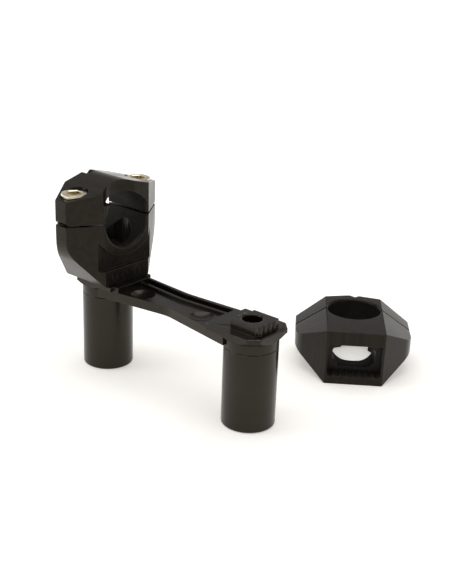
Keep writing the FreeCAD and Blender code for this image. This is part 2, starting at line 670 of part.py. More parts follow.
def draw_hexagon(sketch, across, up, flats, tag):
    """A regular hexagon with two corners along the sketch's first axis."""
    corner = flats / root(Size(3, "3"))
    left, right = across - corner / 2, across + corner / 2
    high, low = up + flats / 2, up - flats / 2
    outline = [(across + corner, up), (right, high), (left, high), (across - corner, up),
               (left, low), (right, low)]
    draw_polygon(sketch, outline, tag)


def make_screws(name):
    """Two socket-head screws in one node, in the frame of their clamp."""
    body = make_body(name)
    body.AllowCompound = True
    seat, head = size("screw_seat_height"), size("screw_head_diameter") / 2
    top, tip = seat + size("screw_head_height"), seat - size("screw_length")
    shank, edge = size("screw_diameter") / 2, size("screw_head_chamfer")
    profile = make_sketch(body, name + "_profile", "YZ_Plane")
    middle = -size("screw_offset")
    axis_line(profile, (middle, tip), (middle, top), "axis")
    outline = [(middle, tip), (middle + shank - edge, tip), (middle + shank, tip + edge),
               (middle + shank, seat), (middle + head, seat), (middle + head, top - edge),
               (middle + head - edge, top), (middle, top)]
    draw_polygon(profile, outline, "outline")
    turned = turn(body, profile, "Revolution", name + "_turned")
    socket = make_sketch(body, name + "_socket", "XY_Plane", top)
    draw_hexagon(socket, Size(0, "0 * sizes.screw_socket"), middle, size("screw_socket"), "socket")
    sunk = pocket(body, socket, size("screw_socket_depth"), name + "_sockets")
    pattern = body.newObject("PartDesign::LinearPattern", name + "_pair")
    pattern.Originals = [turned, sunk]
    pattern.Direction = (socket, ["V_Axis"])
    bind(pattern, "Length", size("screw_offset") * 2)
    pattern.Occurrences = 2
    body.Tip = pattern
    document.recompute()
    return body


def make_seat_bolt(name):
    """The low-headed bolt that holds a clamp on its boss; it stands in the washer."""
    body = make_body(name)
    under = washer_seat + size("washer_thickness")
    top, tip = under + size("seat_head_height"), seam - size("seat_bolt_grip")
    shank, head = size("seat_bolt_diameter") / 2, size("seat_head_diameter") / 2
    edge = size("screw_head_chamfer")
    profile = make_sketch(body, name + "_profile", "XZ_Plane")
    axis_line(profile, (0, tip), (0, top), "axis")
    outline = [(0, tip), (shank - edge, tip), (shank, tip + edge), (shank, under),
               (head, under), (head, top - edge), (head - edge, top), (0, top)]
    draw_polygon(profile, outline, "outline")
    turn(body, profile, "Revolution", name + "_turned")
    socket = make_sketch(body, name + "_socket", "XY_Plane", top)
    zero = Size(0, "0 * sizes.seat_socket")
    draw_hexagon(socket, zero, zero, size("seat_socket"), "socket")
    pocket(body, socket, size("seat_socket_depth"), name + "_hexagon")
    bind(body, "Placement.Base.x", -half_spacing)
    return body


def make_washer(name):
    """The flat washer that bears on the ledges beside the window of a clamp."""
    body = make_body(name)
    ring = make_sketch(body, name + "_ring", "XY_Plane", washer_seat)
    draw_circle(ring, 0, 0, size("washer_diameter"), "outside")
    draw_circle(ring, 0, 0, seat_hole_diameter, "inside")
    pad(body, ring, size("washer_thickness"), name + "_disc")
    bind(body, "Placement.Base.x", -half_spacing)
    return body


def seat_on_bridge(body):
    """Stands a clamp piece on the left pad."""
    bind(body, "Placement.Base.x", -half_spacing)
    bind(body, "Placement.Base.z", pad_top)


def lay_on_table(body):
    """Lays a clamp piece on its inner side face beside the bridge."""
    upright = FreeCAD.Rotation(FreeCAD.Vector(0, 1, 0), 90)
    half_turn = FreeCAD.Rotation(FreeCAD.Vector(0, 0, 1), size("loose_clamp_angle").value + 90)
    body.Placement = FreeCAD.Placement(FreeCAD.Vector(0, 0, 0), half_turn * upright)
    bind(body, "Placement.Base.x", size("loose_clamp_x"))
    bind(body, "Placement.Base.y", size("loose_clamp_y"))
    bind(body, "Placement.Base.z", size("clamp_width") / 2)


pieces = [make_bridge(), make_post("left_post", -1), make_post("right_post", 1)]
fitted = [make_clamp_body("left_clamp_body"), make_clamp_cap("left_clamp_cap"),
          make_screws("left_clamp_screws")]
loose = [make_clamp_body("right_clamp_body"), make_clamp_cap("right_clamp_cap"),
         make_screws("right_clamp_screws")]
for piece in fitted:
    seat_on_bridge(piece)
for piece in loose:
    lay_on_table(piece)
pieces += fitted + loose + [make_seat_bolt("left_seat_bolt"), make_washer("left_seat_washer")]
document.recompute()

for thing in document.Objects:
    if "Invalid" in thing.State or "Error" in thing.State:
        raise RuntimeError("%s did not build" % thing.Name)
os.makedirs("parts", exist_ok=True)
for piece in pieces:
    shape = piece.Shape
    if shape.isNull() or not shape.isValid():
        raise RuntimeError("%s has no valid shape" % piece.Label)
    shape.exportStep("parts/%s.step" % piece.Label)
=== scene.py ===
"""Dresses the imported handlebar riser: edges, cap screws, threads, finishes, studio and camera."""

import logging
import math
from dataclasses import dataclass
from enum import Enum
from typing import Callable

import bmesh
import bpy
from mathutils import Euler, Matrix, Vector


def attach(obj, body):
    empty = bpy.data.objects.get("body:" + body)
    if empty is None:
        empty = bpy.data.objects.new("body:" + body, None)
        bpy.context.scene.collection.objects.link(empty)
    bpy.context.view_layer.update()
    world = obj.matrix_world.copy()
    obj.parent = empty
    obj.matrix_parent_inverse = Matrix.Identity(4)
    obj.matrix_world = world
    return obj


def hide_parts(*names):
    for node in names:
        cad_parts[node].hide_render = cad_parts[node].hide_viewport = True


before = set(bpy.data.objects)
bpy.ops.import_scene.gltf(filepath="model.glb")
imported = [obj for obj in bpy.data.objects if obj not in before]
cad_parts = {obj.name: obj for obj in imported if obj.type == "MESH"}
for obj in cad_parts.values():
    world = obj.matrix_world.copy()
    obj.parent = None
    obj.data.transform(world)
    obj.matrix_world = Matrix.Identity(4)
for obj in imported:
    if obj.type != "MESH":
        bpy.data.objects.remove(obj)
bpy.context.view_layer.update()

MM = 0.001
BODY = "root"
EDGE_ATTRIBUTE = "edge_break"
LATHE_ATTRIBUTE = "lathe_radius"
UNIT_RANGE = (0.0, 1.0)

# Points in a turn of thread, and sides of its ridge
TURN_STEPS = 40
RIDGE_SIDES = 4

# The Mix node has several sockets of one name, so its colours are told apart by number.
MIX_COLOURS = (6, 7)
MIX_RESULT = 2

# Sizes that the posts, the bridge and the fitted clamp share
POST_SPACING = 88.9 * MM
PAD_TOP = 44.9 * MM
FITTED_PLACE = Vector((-POST_SPACING / 2, 0.0, PAD_TOP))

# Where the loose clamp lies, and how it is turned
LOOSE_PLACE = Vector((57.6, 61.7, 13.4)) * MM
LOOSE_HEADING = math.radians(126.9)
LOOSE_TILT = math.radians(90.0)

Colour = tuple[float, float, float, float]
Tone = Colour | bpy.types.NodeSocket
log = logging.getLogger("handlebar_riser")


class Slot(Enum):
    """Material slots of the record that the pieces take."""

    ANODISED = "black_anodised"
    POST = "post_black"
    STEEL = "screw_steel"


class Lay(Enum):
    """The way the cutter went over a surface, as the stretch of the grain along X, Y and Z."""

    ALONG_BRIDGE = (0.05, 1.0, 1.0)
    ALONG_UPRIGHT_BORE = (1.0, 1.0, 0.05)
    AROUND_POST = (0.03, 0.03, 1.0)


class EdgeKind(Enum):
    """How much an edge is rounded."""

    CRISP = "crisp"
    BROKEN = "broken"
    SOFT = "soft"


class ClampPart(Enum):
    """Parts of a clamp's surface, in the order of the clamp's materials."""

    OUTSIDE = 0
    BORE = 1
    POCKET = 2


EdgeRule = Callable[[Vector, Vector], EdgeKind]


def new_group(name: str, inputs: list[tuple[str, str, float]], outputs: list[tuple[str, str]]
              ) -> tuple[bpy.types.NodeTree, bpy.types.Node, bpy.types.Node]:
    """Starts a shader node group with named sockets.

    Args:
        name: Name of the group.
        inputs: Name, socket type and starting value of each input.
        outputs: Name and socket type of each output.

    Returns:
        The group's tree, its input node and its output node.
    """
    tree = bpy.data.node_groups.new(name, "ShaderNodeTree")
    for label, kind, value in inputs:
        socket = tree.interface.new_socket(label, in_out="INPUT", socket_type=kind)
        if kind == "NodeSocketFloat":
            socket.default_value = value
    for label, kind in outputs:
        tree.interface.new_socket(label, in_out="OUTPUT", socket_type=kind)
    return tree, tree.nodes.new("NodeGroupInput"), tree.nodes.new("NodeGroupOutput")


@dataclass(frozen=True)
class NoiseGrade:
    """How fine a noise is, in waves a metre and finer layers, and the part of its range that counts."""

    scale: float
    detail: float
    contrast: tuple[float, float] = UNIT_RANGE


def noise(tree: bpy.types.NodeTree, vector: bpy.types.NodeSocket, grade: NoiseGrade
          ) -> bpy.types.NodeSocket:
    """Adds a noise texture.

    Args:
        tree: Tree that takes the node.
        vector: Socket with the coordinates.
        grade: How fine the noise is.

    Returns:
        The socket of the noise's value.
    """
    node = tree.nodes.new("ShaderNodeTexNoise")
    node.inputs["Scale"].default_value = grade.scale
    node.inputs["Detail"].default_value = grade.detail
    tree.links.new(vector, node.inputs["Vector"])
    return node.outputs["Fac"]


def map_range(tree: bpy.types.NodeTree, value: bpy.types.NodeSocket, source: tuple[float, float],
              target: tuple[float, float]) -> bpy.types.NodeSocket:
    """Adds a clamped map range.

    Args:
        tree: Tree that takes the node.
        value: Socket to map.
        source: Lowest and highest value that comes in.
        target: What they become.

    Returns:
        The mapped socket.
    """
    node = tree.nodes.new("ShaderNodeMapRange")
    for label, number in zip(("From Min", "From Max", "To Min", "To Max"), (*source, *target)):
        node.inputs[label].default_value = number
    tree.links.new(value, node.inputs["Value"])
    return node.outputs["Result"]


def reckon(tree: bpy.types.NodeTree, operation: str, first: bpy.types.NodeSocket,
           second: bpy.types.NodeSocket) -> bpy.types.NodeSocket:
    """Adds a math node for two sockets.

    Args:
        tree: Tree that takes the node.
        operation: Its operation.
        first: First value.
        second: Second value.

    Returns:
        The result's socket.
    """
    node = tree.nodes.new("ShaderNodeMath")
    node.operation = operation
    tree.links.new(first, node.inputs[0])
    tree.links.new(second, node.inputs[1])
    return node.outputs[0]


def read_attribute(tree: bpy.types.NodeTree, name: str) -> bpy.types.NodeSocket:
    """Adds an attribute node.

    Args:
        tree: Tree that takes the node.
        name: Name of the attribute.

    Returns:
        The socket of the attribute's value.
    """
    node = tree.nodes.new("ShaderNodeAttribute")
    node.attribute_name = name
    return node.outputs["Fac"]


def mix_colour(tree: bpy.types.NodeTree, factor: bpy.types.NodeSocket, first: Tone, second: Tone
               ) -> bpy.types.NodeSocket:
    """Mixes two colours by a socket.

    Args:
        tree: Tree that takes the node.
        factor: Share of the second colour.
        first: Colour or socket at factor 0.
        second: Colour or socket at factor 1.

    Returns:
        The mixed colour socket.
    """
    node = tree.nodes.new("ShaderNodeMix")
    node.data_type = "RGBA"
    tree.links.new(factor, node.inputs[0])
    for place, colour in zip(MIX_COLOURS, (first, second)):
        if isinstance(colour, bpy.types.NodeSocket):
            tree.links.new(colour, node.inputs[place])
        else:
            node.inputs[place].default_value = colour
    return node.outputs[MIX_RESULT]


class SharedEffects:
    """Shader groups that more than one finish uses."""

    fine_lines: NoiseGrade = NoiseGrade(2600.0, 2.0)
    broad_lines: NoiseGrade = NoiseGrade(420.0, 3.0, (0.3, 0.7))
    patches: NoiseGrade = NoiseGrade(95.0, 4.0, (0.35, 0.7))
    rubbing_and_glint: NoiseGrade = NoiseGrade(240.0, 3.0, (0.38, 0.68))
    rubbed_and_glint_share: tuple[float, float] = (0.15, 1.0)

    def __init__(self) -> None:
        """Builds each group once."""
        self.grain = self.make_grain()
        self.smudge = self.make_smudge()
        self.wear_and_glint = self.make_wear_and_glint()

    def make_grain(self) -> bpy.types.NodeTree:
        """Fine cutter lines on coordinates stretched along the cut, and an even speckle on plain ones.

        Returns:
            The group, with outputs Height and Tone.
        """
        tree, source, target = new_group(
            "cutter_lines", [("Vector", "NodeSocketVector", 0.0)],
            [("Height", "NodeSocketFloat"), ("Tone", "NodeSocketFloat")])
        fine = noise(tree, source.outputs["Vector"], self.fine_lines)
        broad = noise(tree, source.outputs["Vector"], self.broad_lines)
        tree.links.new(fine, target.inputs["Height"])
        tone = map_range(tree, broad, self.broad_lines.contrast, UNIT_RANGE)
        tree.links.new(tone, target.inputs["Tone"])
        return tree

    def make_smudge(self) -> bpy.types.NodeTree:
        """Soft patches left by handling.

        Returns:
            The group, with output Mask.
        """
        tree, source, target = new_group(
            "handling_smudges", [("Vector", "NodeSocketVector", 0.0)], [("Mask", "NodeSocketFloat")])
        patch = noise(tree, source.outputs["Vector"], self.patches)
        tree.links.new(map_range(tree, patch, self.patches.contrast, UNIT_RANGE), target.inputs["Mask"])
        return tree

    def make_wear_and_glint(self) -> bpy.types.NodeTree:
        """Rubbed places on the broken edges, lighter partly from wear and partly as a painted edge
        highlight.

        Returns:
            The group, with output Mask.
        """
        tree, source, target = new_group(
            "edge_wear",
            [("Vector", "NodeSocketVector", 0.0), ("Edge", "NodeSocketFloat", 0.0),
             ("Amount", "NodeSocketFloat", 1.0)],
            [("Mask", "NodeSocketFloat")])
        patch = noise(tree, source.outputs["Vector"], self.rubbing_and_glint)
        broken = map_range(tree, patch, self.rubbing_and_glint.contrast, self.rubbed_and_glint_share)
        rubbed_and_glint = reckon(tree, "MULTIPLY", broken, source.outputs["Edge"])
        worn_and_glint = reckon(tree, "MULTIPLY", rubbed_and_glint, source.outputs["Amount"])
        tree.links.new(worn_and_glint, target.inputs["Mask"])
        return tree


def start_material(name: str
                   ) -> tuple[bpy.types.Material, bpy.types.NodeTree, bpy.types.Node, bpy.types.Node]:
    """Starts a node material.

    Args:
        name: Name of the material.

    Returns:
        The material, its tree, its Principled BSDF and its Texture Coordinate node.
    """
    material = bpy.data.materials.new(name)
    material.use_nodes = True
    tree = material.node_tree
    return material, tree, tree.nodes["Principled BSDF"], tree.nodes.new("ShaderNodeTexCoord")


def place_group(tree: bpy.types.NodeTree, group: bpy.types.NodeTree, vector: bpy.types.NodeSocket
                ) -> bpy.types.Node:
    """Places a shared effect in a material and feeds its coordinates.

    Args:
        tree: Tree of the material.
        group: Tree of the effect.
        vector: Socket with the coordinates.

    Returns:
        The effect's node.
    """
    node = tree.nodes.new("ShaderNodeGroup")
    node.node_tree = group
    tree.links.new(vector, node.inputs["Vector"])
    return node


def add_gloss(tree: bpy.types.NodeTree, shader: bpy.types.Node, mask: bpy.types.NodeSocket, smooth: float,
              rough: float) -> None:
    """Lets a mask set the roughness.

    Args:
        tree: Tree of the material.
        shader: Its Principled BSDF.
        mask: Socket from 0 to 1.
        smooth: Roughness where the mask is 0.
        rough: Roughness where it is 1.
    """
    tree.links.new(map_range(tree, mask, UNIT_RANGE, (smooth, rough)), shader.inputs["Roughness"])


def add_bump(tree: bpy.types.NodeTree, shader: bpy.types.Node, height: bpy.types.NodeSocket, strength: float,
             distance: float) -> None:
    """Lets a height bend the normal.

    Args:
        tree: Tree of the material.
        shader: Its Principled BSDF.
        height: Socket of the height.
        strength: Strength of the bump.
        distance: Height that 1 stands for, in metres.
    """
    bump = tree.nodes.new("ShaderNodeBump")
    bump.inputs["Strength"].default_value = strength
    bump.inputs["Distance"].default_value = distance
    tree.links.new(height, bump.inputs["Height"])
    tree.links.new(bump.outputs["Normal"], shader.inputs["Normal"])


@dataclass(frozen=True)
class AnodisedFinish:
    """Near-black satin anodising with a trace of brown, lighter on the edges from rubbed wear and from a
    painted edge highlight.
    """

    name: str
    lay: Lay
    dark: Colour = (0.0042, 0.0034, 0.0024, 1.0)
    light: Colour = (0.0085, 0.0070, 0.0050, 1.0)
    # Colour of the edges, partly rubbed wear and partly a painted highlight
    rubbed_and_glint: Colour = (0.085, 0.078, 0.066, 1.0)
    tint: Colour = (1.0, 0.89, 0.74, 1.0)
    wear_and_glint: float = 0.25
    smooth: float = 0.18
    rough: float = 0.28
    index: float = 1.40
    line_height: float = 0.006 * MM
    line_strength: float = 0.22

    def make(self, effects: SharedEffects) -> bpy.types.Material:
        """Builds the material.

        Args:
            effects: The shared shader groups.

        Returns:
            The finished material.
        """
        material, tree, shader, coordinates = start_material(self.name)
        shader.inputs["IOR"].default_value = self.index
        shader.inputs["Specular Tint"].default_value = self.tint
        stretch = tree.nodes.new("ShaderNodeMapping")
        stretch.inputs["Scale"].default_value = self.lay.value
        tree.links.new(coordinates.outputs["Object"], stretch.inputs["Vector"])
        lines = place_group(tree, effects.grain, stretch.outputs["Vector"])
        smudges = place_group(tree, effects.smudge, coordinates.outputs["Object"])
        wear_and_glint = place_group(tree, effects.wear_and_glint, coordinates.outputs["Object"])
        wear_and_glint.inputs["Amount"].default_value = self.wear_and_glint
        tree.links.new(read_attribute(tree, EDGE_ATTRIBUTE), wear_and_glint.inputs["Edge"])
        base = mix_colour(tree, lines.outputs["Tone"], self.dark, self.light)
        # The edges are lighter partly from rubbed wear and partly as a painted highlight.
        rubbed_and_glint = mix_colour(tree, wear_and_glint.outputs["Mask"], base, self.rubbed_and_glint)
        tree.links.new(rubbed_and_glint, shader.inputs["Base Color"])
        add_gloss(tree, shader, smudges.outputs["Mask"], self.smooth, self.rough)
        add_bump(tree, shader, lines.outputs["Height"], self.line_strength, self.line_height)
        return material


@dataclass(frozen=True)
class ClampFinish(AnodisedFinish):
    """The clamps' anodising, a little lighter and duller than the bridge's."""

    dark: Colour = (0.0090, 0.0078, 0.0060, 1.0)
    light: Colour = (0.0150, 0.0130, 0.0100, 1.0)
    index: float = 1.26


@dataclass(frozen=True)
class DullBlackAndShadeFinish:
    """Dull black of blackened steel, also laid on the clamps' bores as a painted shade that keeps them dark.
    """

    name: str
    dark: Colour = (0.0090, 0.0084, 0.0070, 1.0)
    light: Colour = (0.0135, 0.0128, 0.0108, 1.0)
    smooth: float = 0.50
    rough: float = 0.70
    shine: float = 0.12

    def make(self, effects: SharedEffects) -> bpy.types.Material:
        """Builds the material.

        Args:
            effects: The shared shader groups.

        Returns:
            The finished material.
        """
        material, tree, shader, coordinates = start_material(self.name)
        shader.inputs["Specular IOR Level"].default_value = self.shine
        lines = place_group(tree, effects.grain, coordinates.outputs["Object"])
        smudges = place_group(tree, effects.smudge, coordinates.outputs["Object"])
        tone = mix_colour(tree, lines.outputs["Tone"], self.dark, self.light)
        tree.links.new(tone, shader.inputs["Base Color"])
        add_gloss(tree, shader, smudges.outputs["Mask"], self.smooth, self.rough)
        return material


@dataclass(frozen=True)
class PocketShadeFinish(DullBlackAndShadeFinish):
    """The toothed pockets' lighter dull black, a painted shade on the pocket walls."""

    dark: Colour = (0.020, 0.019, 0.016, 1.0)
    light: Colour = (0.030, 0.028, 0.024, 1.0)
    shine: float = 0.20


@dataclass(frozen=True)
class SteelFinish:
    """Warm bright steel with turned rings on its lathe faces."""

    name: str
    dark: Colour = (0.72, 0.64, 0.48, 1.0)
    light: Colour = (0.94, 0.87, 0.68, 1.0)
    smooth: float = 0.16
    rough: float = 0.30
    ring_pitch: float = 0.16
    ring_strength: float = 0.12
    ring_height: float = 0.01 * MM

    def make(self, effects: SharedEffects) -> bpy.types.Material:
        """Builds the material.

        Args:
            effects: The shared shader groups.

        Returns:
            The finished material.
        """
        material, tree, shader, coordinates = start_material(self.name)
        shader.inputs["Metallic"].default_value = 1.0
        smudges = place_group(tree, effects.smudge, coordinates.outputs["Object"])
        tone = mix_colour(tree, smudges.outputs["Mask"], self.light, self.dark)
        tree.links.new(tone, shader.inputs["Base Color"])
        add_gloss(tree, shader, smudges.outputs["Mask"], self.smooth, self.rough)
        rings = tree.nodes.new("ShaderNodeMath")
        rings.operation = "PINGPONG"
        rings.inputs[1].default_value = self.ring_pitch
        tree.links.new(read_attribute(tree, LATHE_ATTRIBUTE), rings.inputs[0])
        add_bump(tree, shader, rings.outputs[0], self.ring_strength, self.ring_height)
        return material


@dataclass(frozen=True)
class EdgeBreak:
    """How the sharp edges of a machined piece are broken, and how wide its soft edges are."""

    width: float = 0.28 * MM
    soft_width: float = 1.0 * MM
    steps: int = 2
    sharp_above: float = math.radians(27.0)
    flat: float = math.radians(0.3)
    seam: float = 0.002 * MM
    smooth_below: float = math.radians(38.0)

    def share(self, kind: EdgeKind, convex: bool) -> float:
        """Share of the widest rounding that an edge takes.

        Args:
            kind: Kind of the edge.
            convex: Whether it stands out.

        Returns:
            A share from 0 to 1.
        """
        if kind is EdgeKind.CRISP:
            return 0.0
        return 1.0 if kind is EdgeKind.SOFT and convex else self.width / self.soft_width


def bake(holder: bpy.types.Object) -> None:
    """Turns an object's evaluated modifiers into its plain mesh and removes them.

    Args:
        holder: Object with modifiers.
    """
    graph = bpy.context.evaluated_depsgraph_get()
    baked = bpy.data.meshes.new_from_object(holder.evaluated_get(graph), depsgraph=graph)
    baked.name = holder.name
    holder.modifiers.clear()
    old = holder.data
    holder.data = baked
    bpy.data.meshes.remove(old)


def link_object(name: str, mesh: bpy.types.Mesh) -> bpy.types.Object:
    """Makes an object from a mesh and puts it in the scene.

    Args:
        name: Name of the object.
        mesh: Its mesh.

    Returns:
        The new object.
    """
    made = bpy.data.objects.new(name, mesh)
    bpy.context.scene.collection.objects.link(made)
    return made


def merged_copy(node: str, name: str, seam: float, flat: float) -> bpy.types.Object:
    """Copies a CAD node's mesh, welds its loose triangles and evens out what is flat.

    Args:
        node: CAD node to copy.
        name: Name of the new piece.
        seam: Points closer than this are one.
        flat: Faces that turn less than this are one.

    Returns:
        The new object, in the scene, at the origin.
    """
    shape = bmesh.new()
    shape.from_mesh(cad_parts[node].data)
    bmesh.ops.remove_doubles(shape, verts=shape.verts[:], dist=seam)
    bmesh.ops.dissolve_limit(shape, angle_limit=flat, verts=shape.verts[:], edges=shape.edges[:])
    bmesh.ops.triangulate(shape, faces=shape.faces[:])
    mesh = bpy.data.meshes.new(name)
    shape.to_mesh(mesh)
    shape.free()
    for extra in ("custom_normal", "UVMap"):
        if extra in mesh.attributes:
            mesh.attributes.remove(mesh.attributes[extra])
    mesh.materials.clear()
    return link_object(name, mesh)


def weigh_edges(piece: bpy.types.Object, edge: EdgeBreak, kind_of: EdgeRule) -> None:
    """Gives each sharp edge its share of the widest rounding.

    Args:
        piece: Welded piece.
        edge: How its edges are broken.
        kind_of: Finds the kind of an edge from its two ends.
    """
    shape = bmesh.new()
    shape.from_mesh(piece.data)
    share = shape.edges.layers.float.new("bevel_weight_edge")
    for line in shape.edges:
        first, second = (end.co for end in line.verts)
        if len(line.link_faces) == 2 and line.calc_face_angle() > edge.sharp_above:
            line[share] = edge.share(kind_of(first, second), line.is_convex)
    shape.to_mesh(piece.data)
    shape.free()


def bevel_edges(piece: bpy.types.Object, edge: EdgeBreak) -> None:
    """Rounds the weighed edges and gives the new faces the second material.

    Args:
        piece: Piece with weighed edges.
        edge: How its edges are broken.
    """
    bevel = piece.modifiers.new("broken_edges", "BEVEL")
    bevel.width = edge.soft_width
    bevel.segments = edge.steps
    bevel.limit_method = "WEIGHT"
    bevel.use_clamp_overlap = False
    bevel.material = 1
    bake(piece)


def mark_corners(mesh: bpy.types.Mesh, edge: EdgeBreak) -> None:
    """Marks the corners that stayed crisp as sharp.

    Args:
        mesh: Rounded mesh with its narrow faces marked.
        edge: How its edges are broken.
    """
    shape = bmesh.new()
    shape.from_mesh(mesh)
    narrow = shape.faces.layers.float[EDGE_ATTRIBUTE]
    for line in shape.edges:
        plain = len(line.link_faces) == 2 and not any(face[narrow] for face in line.link_faces)
        if plain and line.calc_face_angle() > edge.sharp_above:
            line.smooth = False
    shape.to_mesh(mesh)
    shape.free()


def break_alike(first: Vector, second: Vector) -> EdgeKind:
    """Breaks every edge alike."""
    return EdgeKind.BROKEN


def break_edges(piece: bpy.types.Object, edge: EdgeBreak, kind_of: EdgeRule) -> None:
    """Rounds a piece's sharp edges and marks the new narrow faces.

    Args:
        piece: Welded piece.
        edge: How its edges are broken.
        kind_of: Finds the kind of an edge from its two ends.
    """
    # The rounding marks its new faces with the second material, so two have to be there.
    for spare in ("whole", "edge"):
        piece.data.materials.append(bpy.data.materials.get(spare) or bpy.data.materials.new(spare))
    weigh_edges(piece, edge, kind_of)
    bevel_edges(piece, edge)
    mesh = piece.data
    narrow = [float(face.material_index == 1) for face in mesh.polygons]
    mesh.attributes.new(EDGE_ATTRIBUTE, "FLOAT", "FACE").data.foreach_set("value", narrow)
    mesh.polygons.foreach_set("material_index", [0] * len(mesh.polygons))
    mesh.shade_smooth()
    mesh.set_sharp_from_angle(angle=edge.smooth_below)
    mark_corners(mesh, edge)
    weighted = piece.modifiers.new("flat_faces_flat", "WEIGHTED_NORMAL")
    weighted.keep_sharp = True
    bake(piece)


def dressed_copy(node: str, edge: EdgeBreak, kind_of: EdgeRule = break_alike) -> bpy.types.Object:
    """Copies a CAD node with its sharp edges rounded.

    Args:
        node: CAD node to copy.
        edge: How its edges are broken.
        kind_of: Finds the kind of an edge from its two ends.

    Returns:
        The new piece, still without a finish.
    """
    piece = merged_copy(node, f"{node}_dressed", edge.seam, edge.flat)
    break_edges(piece, edge, kind_of)
    return piece


def finish_piece(piece: bpy.types.Object, materials: list[bpy.types.Material], slot: Slot, *nodes: str
                 ) -> None:
    """Gives a piece its materials and body, logs its slot, and hides the CAD nodes that it stands for.

    Args:
        piece: Finished mesh object.
        materials: Its materials, in the order that its faces count them.
        slot: Its slot in the record.
        nodes: CAD nodes that it replaces.
    """
    counted = [face.material_index for face in piece.data.polygons]
    piece.data.materials.clear()
    for material in materials:
        piece.data.materials.append(material)
    piece.data.polygons.foreach_set("material_index", counted)
    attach(piece, BODY)
    if nodes:
        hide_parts(*nodes)
    log.info("%s: %d faces, slot %s", piece.name, len(piece.data.polygons), slot.value)


class GeometryTree:
    """A Geometry Nodes tree with named inputs, set by identifier on each use."""

    def __init__(self, name: str, inputs: list[tuple[str, str]]) -> None:
        """Starts the tree.

        Args:
            name: Name of the tree.
            inputs: Name and socket type of each input.
        """
        self.tree = bpy.data.node_groups.new(name, "GeometryNodeTree")
        self.tree.interface.new_socket("Geometry", in_out="INPUT", socket_type="NodeSocketGeometry")
        self.identifiers = {}
        for label, kind in inputs:
            socket = self.tree.interface.new_socket(label, in_out="INPUT", socket_type=kind)
            self.identifiers[label] = socket.identifier
        self.tree.interface.new_socket("Geometry", in_out="OUTPUT", socket_type="NodeSocketGeometry")
        self.source = self.tree.nodes.new("NodeGroupInput")
        self.target = self.tree.nodes.new("NodeGroupOutput")

    def add(self, kind: str, **links: bpy.types.NodeSocket) -> bpy.types.Node:
        """Adds a node and feeds the inputs named by keyword, with _ for a space.

        Args:
            kind: Node type.
            links: Sockets for its inputs.

        Returns:
            The new node.
        """
        node = self.tree.nodes.new(kind)
        for label, socket in links.items():
            self.tree.links.new(socket, node.inputs[label.replace("_", " ")])
        return node

    def given(self, label: str) -> bpy.types.NodeSocket:
        """The socket of one of the tree's own inputs."""
        return self.source.outputs[label]

    def end(self, geometry: bpy.types.NodeSocket) -> None:
        """Closes the tree with Realize Instances and Set Material.

        Args:
            geometry: Socket of the finished geometry.
        """
        real = self.add("GeometryNodeRealizeInstances", Geometry=geometry)
        painted = self.add("GeometryNodeSetMaterial", Geometry=real.outputs[0],
                           Material=self.given("Finish"))
        self.tree.links.new(painted.outputs[0], self.target.inputs[0])

    def grow(self, name: str, **values: object) -> bpy.types.Object:
        """Runs the tree on an empty mesh and bakes the result.

        Args:
            name: Name of the new piece.
            values: The tree's inputs, with _ for a space.

        Returns:
            The new object with a plain mesh.
        """
        piece = link_object(name, bpy.data.meshes.new(name))
        modifier = piece.modifiers.new(name, "NODES")
        modifier.node_group = self.tree
        for label, value in values.items():
            modifier[self.identifiers[label.replace("_", " ")]] = value
        bake(piece)
        return piece


def make_thread_tree() -> GeometryTree:
    """The turns of a thread along Z.

    Returns:
        A tree with inputs Radius, Height, Turns, Ridge, Place and Finish.
    """
    thread = GeometryTree("thread_turns", [
        ("Radius", "NodeSocketFloat"), ("Height", "NodeSocketFloat"), ("Turns", "NodeSocketFloat"),
        ("Ridge", "NodeSocketFloat"), ("Place", "NodeSocketVector"), ("Finish", "NodeSocketMaterial")])
    radius = thread.given("Radius")
    spiral = thread.add("GeometryNodeCurveSpiral", Rotations=thread.given("Turns"), Start_Radius=radius,
                        End_Radius=radius, Height=thread.given("Height"))
    spiral.inputs["Resolution"].default_value = TURN_STEPS
    ridge = thread.add("GeometryNodeCurvePrimitiveCircle", Radius=thread.given("Ridge"))
    ridge.inputs["Resolution"].default_value = RIDGE_SIDES
    swept = thread.add("GeometryNodeCurveToMesh", Curve=spiral.outputs[0], Profile_Curve=ridge.outputs[0])
    swept.inputs["Fill Caps"].default_value = True
    moved = thread.add("GeometryNodeTransform", Geometry=swept.outputs[0], Translation=thread.given("Place"))
    thread.end(moved.outputs[0])
    return thread


def make_screw_row_tree() -> GeometryTree:
    """A pair of screws across a clamp.

    Returns:
        A tree with inputs Screw, Count, Start, Step, Place, Turn and Finish.
    """
    row = GeometryTree("screw_row", [
        ("Screw", "NodeSocketObject"), ("Count", "NodeSocketInt"), ("Start", "NodeSocketVector"),
        ("Step", "NodeSocketVector"), ("Place", "NodeSocketVector"), ("Turn", "NodeSocketVector"),
        ("Finish", "NodeSocketMaterial")])
    line = row.add("GeometryNodeMeshLine", Count=row.given("Count"), Start_Location=row.given("Start"),
                   Offset=row.given("Step"))
    screw = row.add("GeometryNodeObjectInfo", Object=row.given("Screw"))
    screw.inputs["As Instance"].default_value = True
    put = row.add("GeometryNodeInstanceOnPoints", Points=line.outputs[0], Instance=screw.outputs["Geometry"])
    turn = row.add("FunctionNodeEulerToRotation", Euler=row.given("Turn"))
    moved = row.add("GeometryNodeTransform", Geometry=put.outputs[0], Translation=row.given("Place"),
                    Rotation=turn.outputs[0])
    row.end(moved.outputs[0])
    return row


